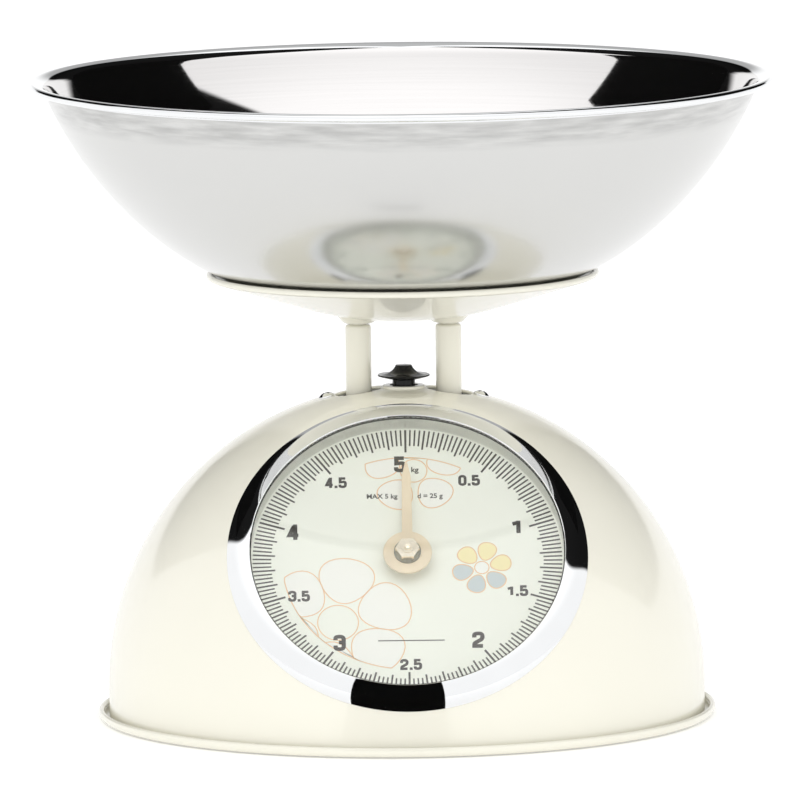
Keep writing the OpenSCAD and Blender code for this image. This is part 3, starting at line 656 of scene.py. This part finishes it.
def number(form, text, x, y, height):
    """Draws a bold, narrow number with its middle at (x, y). A stroke's path runs along its middle."""
    stroke = 0.225 * height
    wide, tall = 0.66 * height - stroke, height - stroke
    gap = 0.09 * height
    widths = [stroke if sign == "." else wide + stroke for sign in text]
    left = x - (sum(widths) + gap * (len(text) - 1)) / 2
    for sign, width in zip(text, widths):
        if sign == ".":
            right, foot = left + stroke, y - height / 2
            square = [(left, foot), (right, foot), (right, foot + stroke), (left, foot + stroke)]
            form.plate(square, INK_TOP, INK_DEPTH)
        else:
            for corners in STROKES[sign]:
                scaled = [(cx * wide, cy * tall, r * wide) for cx, cy, r in corners]
                path = softened(scaled, sign == "0")
                shift = Vector((left + stroke / 2, y - tall / 2))
                form.ribbon([p + shift for p in path], stroke, INK_TOP, INK_DEPTH, sign == "0")
        left += width + gap


def word(form, text, x, y, size, heavy):
    """Draws a small word with its middle at (x, y), its strokes thickened by heavy on each side."""
    curve = bpy.data.curves.new("word", "FONT")
    curve.body = text
    curve.size = size
    curve.align_x, curve.align_y = "CENTER", "CENTER"
    curve.offset = heavy
    curve.extrude = INK_DEPTH / 2
    mesh = applied(loose("word", curve))
    middle = INK_TOP - INK_DEPTH / 2
    form.add([(v.co.x + x, v.co.y + y, v.co.z + middle) for v in mesh.vertices],
             [tuple(p.vertices) for p in mesh.polygons])


def build_scale():
    """Graduations every 25 g over one full turn of 5 kg, and the numbers."""
    form = Form()
    outer, divisions, per_100_g, per_500_g = 59.5 * MM, 200, 4, 20
    for i in range(divisions):
        inner, width = 52.3 * MM, 0.62 * MM
        if i % per_100_g == 0:
            inner, width = 50.9 * MM, 0.7 * MM
        if i % per_500_g == 0:
            inner, width = 49.4 * MM, 0.8 * MM
        a = math.radians(90 - 360 * i / divisions)
        form.ribbon([(r * math.cos(a), r * math.sin(a)) for r in (inner, outer)], width, INK_TOP, INK_DEPTH)
    big, small = 7.2 * MM, 4.85 * MM
    for text, x, y in (("5", -2.2, 44.0), ("1", 42.2, 15.1), ("2", 26.6, -35.3), ("3", -26.5, -36.0),
                       ("4", -43.7, 13.9)):
        number(form, text, x * MM, y * MM, big)
    for text, x, y in (("0.5", 24.3, 36.4), ("1.5", 41.9, -13.6), ("2.5", 0.7, -46.0), ("3.5", -41.8, -14.9),
                       ("4.5", -27.0, 36.0)):
        number(form, text, x * MM, y * MM, small)
    word(form, "kg", 3.4 * MM, 41.4 * MM, 3.2 * MM, 0.08 * MM)
    word(form, "MAX 5 kg", -9.4 * MM, 29.5 * MM, 2.9 * MM, 0.07 * MM)
    word(form, "d = 25 g", 9.1 * MM, 29.5 * MM, 2.9 * MM, 0.07 * MM)
    rule_y = -35.3 * MM
    form.ribbon([(-11.7 * MM, rule_y), (13.7 * MM, rule_y)], 0.45 * MM, INK_TOP, INK_DEPTH)
    mesh = form.mesh("dial_scale")
    piece("dial_scale", mesh, "housing", [dial_ink], matrix=DIAL)


def petal(cx, cy, turn, start, length, half, steps=28):
    """Outline of one petal that grows from distance start to length from (cx, cy)."""
    path = []
    for i in range(steps):
        a = 2 * math.pi * i / steps
        along = start + (length - start) * (1 - math.cos(a)) / 2
        side = half * math.sin(a) * (0.75 + 0.25 * (1 - math.cos(a)))
        path.append(Vector((cx + along * math.cos(turn) - side * math.sin(turn),
                            cy + along * math.sin(turn) + side * math.cos(turn))))
    return path


def build_blossoms():
    """A plain generic blossom pattern on the dial, drawn in pale outlines."""
    form = Form()
    thin, low_ink = 0.38 * MM, DIAL_FACE + 0.012 * MM

    def draw(path, mark=0):
        form.ribbon(path, thin, low_ink + 0.008 * MM, 0.016 * MM, True, mark)

    def fill(path, mark, height=0.0):
        form.plate([(p.x, p.y) for p in path], low_ink + height, 0.01 * MM, mark)

    for cx, cy, reach, count, turn, inside in ((3 * MM, 41 * MM, 19 * MM, 5, -0.9, 47 * MM),
                                               (-27 * MM, -27 * MM, 29 * MM, 6, 0.35, 48 * MM)):
        draw([Vector((cx + p[0], cy + p[1])) for p in arc(0, 0, reach * 0.27, 0, 360, 36)[:-1]])
        for i in range(count):
            leaf = petal(cx, cy, turn + 2 * math.pi * i / count, reach * 0.3, reach, reach * 0.36)
            if min(p.length for p in leaf) < inside:
                leaf = [p * min(1, inside / p.length) for p in leaf]
                fill(leaf, 3)
                draw(leaf)
    cx, cy, reach = 28.5 * MM, -3.0 * MM, 11.5 * MM
    for i in range(6):
        turn = 0.25 + 2 * math.pi * i / 6
        leaf = petal(cx, cy, turn, reach * 0.3, reach, reach * 0.3)
        fill(leaf, 1 if math.sin(turn) > -0.2 else 2, 0.002 * MM)
        draw(leaf)
    centre = [Vector((cx + p[0], cy + p[1])) for p in arc(0, 0, reach * 0.24, 0, 360, 32)[:-1]]
    fill(centre, 3, 0.003 * MM)
    draw(centre)
    inks = [peach_ink, yellow_ink, blue_ink, white_ink]
    piece("dial_blossoms", form.mesh("dial_blossoms"), "housing", inks, matrix=DIAL)


def build_dial_card():
    """Plain disc with a hole for the pointer's shaft, which the printing lies on."""
    r, bore, back = DIAL_R + 0.6 * MM, 3.2 * MM, DIAL_FACE - 0.85 * MM
    outline = [(bore, back), (r, back), (r, DIAL_FACE), (bore, DIAL_FACE)]
    mesh = Form().lathe(outline, 192).mesh("dial_card")
    piece("dial_card", mesh, "housing", [dial_card], ["dial_plate"], DIAL)


# ---- Pointer ----

NEEDLE_Z = DIAL_FACE + 6.2 * MM
NEEDLE_T = 1.0 * MM


def build_needle():
    """Flat painted blade that narrows to a point, with a round hub."""
    hub, half, length, taper = 9.35 * MM, 2.05 * MM, 41 * MM, 7 * MM
    tip_half, tip_length, narrow = 0.5 * MM, 0.6 * MM, 0.86 * half
    side = math.degrees(math.asin(half / hub))
    outline = arc(0, 0, hub, 90 + side, 450 - side, 90)
    outline += [(narrow, length - taper), (tip_half, length - tip_length), (0, length),
                (-tip_half, length - tip_length), (-narrow, length - taper)]
    mesh = Form().plate(outline, NEEDLE_Z + NEEDLE_T, NEEDLE_T).mesh("pointer_blade")
    mesh = rounded(mesh, 0.22 * MM)
    mesh.name = "pointer_blade"
    piece("pointer_blade", mesh, "pointer", [pointer_paint], ["pointer_needle"], DIAL)


def build_nut():
    """Hexagon nut with broken edges and chamfered corners, on a washer on the pointer's shaft."""
    flat, height, bore = 4.7 * MM * math.cos(math.pi / 6), 2.8 * MM, 2.45 * MM
    washer_t, edge, face_r, corner_slope = 0.6 * MM, 0.1 * MM, 1.08 * flat, 0.6
    base = NEEDLE_Z + NEEDLE_T + washer_t
    top = base + height
    steps = 144
    rings = [[] for _ in range(5)]
    for k in range(steps):
        a = 2 * math.pi * k / steps
        off = (a % (math.pi / 3)) - math.pi / 6
        r = flat / math.cos(off)
        face = min(r - edge, face_r)
        drop = edge + (r - edge - face) * corner_slope
        section = ((bore, base), (r, base), (r, top - drop), (face, top), (bore, top))
        for ring, (radius, z) in zip(rings, section):
            ring.append((radius * math.cos(a), radius * math.sin(a), z))
    faces = []
    for i in range(5):
        for k in range(steps):
            j = (k + 1) % steps
            faces.append((i * steps + k, i * steps + j, (i + 1) % 5 * steps + j, (i + 1) % 5 * steps + k))
    mesh = Form().add([p for ring in rings for p in ring], faces).mesh("pointer_lock_nut", 20)
    piece("pointer_lock_nut", mesh, "pointer", [nickel], ["pointer_nut"], DIAL)


# ---- Platform ----

PLATTER_FLOOR = 156 * MM
PLATTER_WALL = 1.0 * MM
PLATTER_BEAD = 1.2 * MM
BOSS_Z = low("platter").z


def build_platter():
    """Dished pressing with two drawn bosses for the posts and a pressed circle between them."""
    slope, flat_r, cone_r = math.radians(17), 8 * MM, 38 * MM
    bend = (cone_r - flat_r) / math.sin(slope)
    end_r = high("platter").x - PLATTER_BEAD
    circle_r, circle_edge, circle_depth = 8.7 * MM, 0.5 * MM, 0.8 * MM
    boss_r, boss_run, boss_curve = 5.2 * MM, 4.4 * MM, 0.8

    def dish(r):
        """Height of the underside at radius r, without its bosses: a flat, a bend and a cone."""
        if r < flat_r:
            return PLATTER_FLOOR
        if r < cone_r:
            return PLATTER_FLOOR + bend - math.sqrt(bend ** 2 - (r - flat_r) ** 2)
        return PLATTER_FLOOR + bend * (1 - math.cos(slope)) + (r - cone_r) * math.tan(slope)

    def smooth(share):
        """Turns a share from 0 to 1 into one that starts and ends gently."""
        share = min(1, max(0, share))
        return share * share * (3 - 2 * share)

    def underside(x, y):
        """Height of the underside with the pressed circle and the two bosses."""
        r = math.hypot(x, y)
        z = dish(r) + circle_depth * smooth((circle_r - r) / circle_edge)
        off = min(math.hypot(x - POST_X, y), math.hypot(x + POST_X, y))
        return BOSS_Z + (z - BOSS_Z) * smooth((off - boss_r) / boss_run) ** boss_curve

    segments, fine, coarse = 300, 79, 24
    radii = [0.4 * MM * i for i in range(1, fine + 1)]
    radii += [radii[-1] + (end_r - radii[-1]) * i / coarse for i in range(1, coarse + 1)]
    points, faces = [(0, 0, underside(0, 0))], []
    for r in radii:
        for k in range(segments):
            a = 2 * math.pi * k / segments
            x, y = r * math.cos(a), r * math.sin(a)
            points.append((x, y, underside(x, y)))
    rings = len(radii)
    bead = arc(end_r, dish(end_r) + 1.3 * MM, PLATTER_BEAD, -110, 150, 18)
    top = [(end_r - PLATTER_BEAD * 0.9, dish(end_r - PLATTER_BEAD) + PLATTER_WALL)]
    top += [(end_r * (1 - i / 40), dish(end_r * (1 - i / 40)) + PLATTER_WALL) for i in range(2, 40)]
    for r, z in bead + top:
        rings += 1
        points += [(r * math.cos(a), r * math.sin(a), z) for a in
                   (2 * math.pi * k / segments for k in range(segments))]
    points.append((0, 0, PLATTER_FLOOR + PLATTER_WALL))
    for k in range(segments):
        j = (k + 1) % segments
        faces.append((0, 1 + j, 1 + k))
        last = 1 + (rings - 1) * segments
        faces.append((last + k, last + j, len(points) - 1))
        for i in range(rings - 1):
            a = 1 + i * segments
            faces.append((a + k, a + j, a + segments + j, a + segments + k))
    mesh = Form().add(points, faces).mesh("platter_dish", 50)
    piece("platter_dish", mesh, "platform", [cream], ["platter"])


def build_posts():
    """Painted columns with a rounded shoulder and a spigot under each boss."""
    for name in ("post_left", "post_right"):
        base, top = low(name).z, high(name).z
        centre = (low(name).x + high(name).x) / 2
        chamfer, shoulder, gap, spigot_r = 0.4 * MM, 1.2 * MM, 0.6 * MM, 3.4 * MM
        outline = [(0, base), (POST_R - chamfer, base), (POST_R, base + chamfer)]
        outline += arc(POST_R - shoulder, top - gap - shoulder, shoulder, 0, 90, 8)
        outline += [(spigot_r, top - gap), (spigot_r, top), (0, top)]
        mesh = Form().lathe(outline, 96, (centre, 0)).mesh(name + "_column", 50)
        piece(name + "_column", mesh, "platform", [cream], [name])


# ---- Bowl ----

def build_bowl():
    """Spun bowl: flat foot, tight knuckle, spherical wall, everted lip and a rolled rim."""
    wall, rim_r, bead = 1.0 * MM, high("bowl").x, 1.5 * MM
    main_r, main_z, lip_r = 150.6 * MM, 305 * MM, 5 * MM
    foot, knuckle_r, join = low("bowl").z, 120 * MM, -49.2
    lip_a = -math.degrees(math.acos((rim_r - bead) / (main_r + lip_r)))
    lip_x = (main_r + lip_r) * math.cos(math.radians(lip_a))
    lip_z = main_z + (main_r + lip_r) * math.sin(math.radians(lip_a))
    knuckle_x = (main_r - knuckle_r) * math.cos(math.radians(join))
    knuckle_z = main_z + (main_r - knuckle_r) * math.sin(math.radians(join))
    bead_z = lip_z + lip_r + wall - bead

    def line(depth, last):
        """The wall from the axis to the lip, moved inwards by depth."""
        start = -math.degrees(math.asin((knuckle_z - foot - depth) / (knuckle_r - depth)))
        corner = knuckle_x + (knuckle_r - depth) * math.cos(math.radians(start))
        flat = [(corner * i / 12, foot + depth) for i in range(12)]
        return (flat + arc(knuckle_x, knuckle_z, knuckle_r - depth, start, join, 24)
                + arc(0, main_z, main_r - depth, join + 1, lip_a, 64)
                + arc(lip_x, lip_z, lip_r + depth, 180 + lip_a - 8, last, 14))

    outside, inside = line(0, 107), line(wall, 90)
    rim = arc(lip_x, bead_z, bead, 182, 450, 28)
    outline = outside + rim + inside[-2::-1]
    lip_out, lip_in = 16, 10
    marks = [0] * (len(outside) - lip_out) + [2] * (lip_out + len(rim) + lip_in)
    marks += [1] * (len(inside) - lip_in - 1)
    mesh = Form().lathe(outline, 384, marks=marks).mesh("bowl_spun", 40)
    piece("bowl_spun", mesh, "bowl", [satin, bright, chromed], ["bowl"])


# ---- Zero adjuster ----

def build_knob():
    """Glossy moulded knob: stem, curled saucer and a crown that narrows to a flat top."""
    base, top = low("zero_knob").z, high("zero_knob").z
    stem, crown, rim = 4.4 * MM, 3.1 * MM, high("zero_knob").x
    chamfer, crown_edge, lip = 0.3 * MM, 0.25 * MM, 0.32 * MM
    saucer_low, saucer_rise, lip_low, waist = 5.55 * MM, 1.35 * MM, 4.02 * MM, 5.05 * MM
    outline = [(0, base), (stem - chamfer, base), (stem, base + chamfer), (stem, top - 5.75 * MM)]
    outline += [(stem + 0.15 * MM, top - 5.6 * MM)]
    outline += [(stem + (rim - stem) * t, top - saucer_low + saucer_rise * t ** 1.6) for t in
                (i / 10 for i in range(1, 10))]
    outline += arc(rim - lip, top - lip_low, lip, -70, 110, 8)
    outline += [(rim - 1.1 * MM, top - 3.78 * MM)]
    outline += arc(7.9 * MM, top + 1.6 * MM, waist, 258, 200, 18)
    outline += arc(crown - crown_edge, top - crown_edge, crown_edge, 0, 90, 5)
    outline += [(0, top)]
    mesh = Form().lathe(outline, 128).mesh("zero_knob_moulding", 40)
    piece("zero_knob_moulding", mesh, "zero_knob", [black_plastic], ["zero_knob"])


for build in (build_dome, build_tray, build_bezel, build_spacer, build_lens, build_dial_card, build_scale,
              build_blossoms, build_needle, build_nut, build_platter, build_posts, build_bowl, build_knob):
    build()


# ---- Studio ----

def stage_mesh(name, points, material):
    """One flat face of the studio."""
    mesh = bpy.data.meshes.new(name)
    mesh.from_pydata(points, [], [tuple(range(len(points)))])
    mesh.materials.append(material)
    obj = loose(name, mesh)
    return obj


def build_floor():
    """White floor out to the horizon, a little lit of its own."""
    n = Nodes("floor_white")
    fine = n.noise(n.place(), 30)
    white = n.surface(base_color=n.tint(fine, (0.92, 0.92, 0.92), (0.93, 0.93, 0.93)), roughness=0.9,
                      emission_color=(1, 1, 1, 1), emission_strength=0.2)
    far = 30
    stage_mesh("floor", [(-far, -far, 0), (far, -far, 0), (far, far, 0), (-far, far, 0)], white)


def build_flags():
    """Black cards that only reflections show: a low one in front and two high ones on each side."""
    n = Nodes("card_black")
    black = n.surface(base_color=(0.004, 0.004, 0.004, 1), roughness=1.0, specular_ior_level=0.0)
    front_low, front_high, foot_z, head_z = -0.144, -0.1365, 0.001, 0.05
    cards = [stage_mesh("front_flag", [(-0.041, front_low, foot_z), (0.0235, front_low, foot_z),
                                       (0.015, front_high, head_z), (-0.026, front_high, head_z)], black)]
    top = 0.75
    for x in (-0.5, 0.5):
        for near, far, base in ((0.05, 0.35, 0.42), (0.35, 0.8, 0.34)):
            cards.append(stage_mesh("side_flag", [(x, near, base), (x, far, base), (x, far, top),
                                                  (x, near, top)], black))
    for card in cards:
        card.visible_camera = card.visible_diffuse = card.visible_shadow = card.visible_transmission = False


def build_world():
    """White studio all round. Reflections also show a dark gap high on each side and a greyer rear.
    Azimuth is 0 at the front and 180 behind, in degrees, and elevation is 90 overhead."""
    world = bpy.data.worlds.new("studio")
    bpy.context.scene.world = world
    world.use_nodes = True
    tree = world.node_tree
    tree.nodes.clear()

    def add(kind, inputs=(), **settings):
        node = tree.nodes.new(kind)
        for key, value in settings.items():
            setattr(node, key, value)
        for key, value in dict(inputs).items():
            if isinstance(value, bpy.types.NodeSocket):
                tree.links.new(value, node.inputs[key])
            else:
                node.inputs[key].default_value = value
        return node

    def calc(operation, a, b=0.0):
        return add("ShaderNodeMath", {0: a, 1: b}, operation=operation).outputs[0]

    def ramp(value, start, end, low=0.0, high=1.0):
        return add("ShaderNodeMapRange", {"Value": value, "From Min": start, "From Max": end,
                                          "To Min": low, "To Max": high},
                   interpolation_type="SMOOTHSTEP").outputs[0]

    x, y, z = add("ShaderNodeSeparateXYZ", {0: add("ShaderNodeTexCoord").outputs["Generated"]}).outputs
    azimuth = calc("ABSOLUTE", calc("DEGREES", calc("ARCTAN2", x, calc("MULTIPLY", y, -1.0))))
    elevation = calc("DEGREES", calc("ARCSINE", z))
    left_start, right_start, lean = 125, 105.6, 1.25
    start = ramp(x, -0.01, 0.01, left_start, right_start)
    front_edge = calc("SUBTRACT", start, calc("MULTIPLY", calc("SUBTRACT", elevation, 20.0), lean))
    back_end, widest, bow = 165.0, 14.0, 0.0145
    lifted = calc("SUBTRACT", elevation, widest)
    back_edge = calc("SUBTRACT", back_end, calc("MULTIPLY", calc("MULTIPLY", lifted, lifted), bow))
    blur = 1.5
    side = calc("MULTIPLY", ramp(calc("SUBTRACT", azimuth, front_edge), -blur, blur),
                ramp(calc("SUBTRACT", back_edge, azimuth), -blur, blur))
    side = calc("MULTIPLY", side, calc("MULTIPLY", ramp(elevation, 9, 12), ramp(elevation, 86, 82)))
    rear_dim, side_dim, seen = 0.58, 0.992, 1.4
    rear = calc("MULTIPLY", ramp(azimuth, 148, 162), ramp(elevation, 6, 16))
    bright = calc("MULTIPLY", ramp(elevation, 30, 58, 1.08, 1.36),
                  calc("SUBTRACT", 1.0, calc("MULTIPLY", rear, rear_dim)))
    mirrored = calc("MULTIPLY", bright, calc("SUBTRACT", 1.0, calc("MULTIPLY", side, side_dim)))
    path = add("ShaderNodeLightPath").outputs
    soft = ramp(elevation, 5, 60, 1.35, 0.8)
    light = add("ShaderNodeMix", {0: path["Is Diffuse Ray"], 2: mirrored, 3: soft}).outputs[0]
    strength = add("ShaderNodeMix", {0: path["Is Camera Ray"], 2: light, 3: seen}).outputs[0]
    background = add("ShaderNodeBackground", {"Color": (1, 1, 1, 1), "Strength": strength})
    output = add("ShaderNodeOutputWorld")
    tree.links.new(background.outputs[0], output.inputs[0])


def build_softbox():
    """A large soft light high in front, square to the dial."""
    light = bpy.data.lights.new("softbox", "AREA")
    light.shape = "SQUARE"
    light.size = 1.2
    light.energy = 5.5
    obj = bpy.data.objects.new("softbox", light)
    bpy.context.scene.collection.objects.link(obj)
    distance = 2.1
    place = dome_centre + distance * dial_axis
    obj.matrix_world = Matrix.Translation(place) @ dial_axis.to_track_quat("Z", "Y").to_matrix().to_4x4()
    obj.visible_glossy = obj.visible_camera = False


def build_camera():
    """Long lens in front, a little above the object and a little to its left."""
    data = bpy.data.cameras.new("camera")
    camera = bpy.data.objects.new("camera", data)
    bpy.context.scene.collection.objects.link(camera)
    distance, pitch, azimuth, roll = 5.5, math.radians(6.942), math.radians(-0.556), math.radians(-0.605)
    aim = Vector((-1.54 * MM, 0, 123.56 * MM))
    away = Vector((math.sin(azimuth) * math.cos(pitch), -math.cos(azimuth) * math.cos(pitch),
                   math.sin(pitch)))
    look = (-away).to_track_quat("-Z", "Y").to_matrix().to_4x4()
    camera.matrix_world = Matrix.Translation(aim + distance * away) @ look @ Matrix.Rotation(roll, 4, "Z")
    data.sensor_width = 36
    data.lens = 636.6
    data.clip_end = 200
    bpy.context.scene.camera = camera


build_floor()
build_flags()
build_world()
build_softbox()
build_camera()
bpy.context.scene.view_settings.view_transform = "Standard"
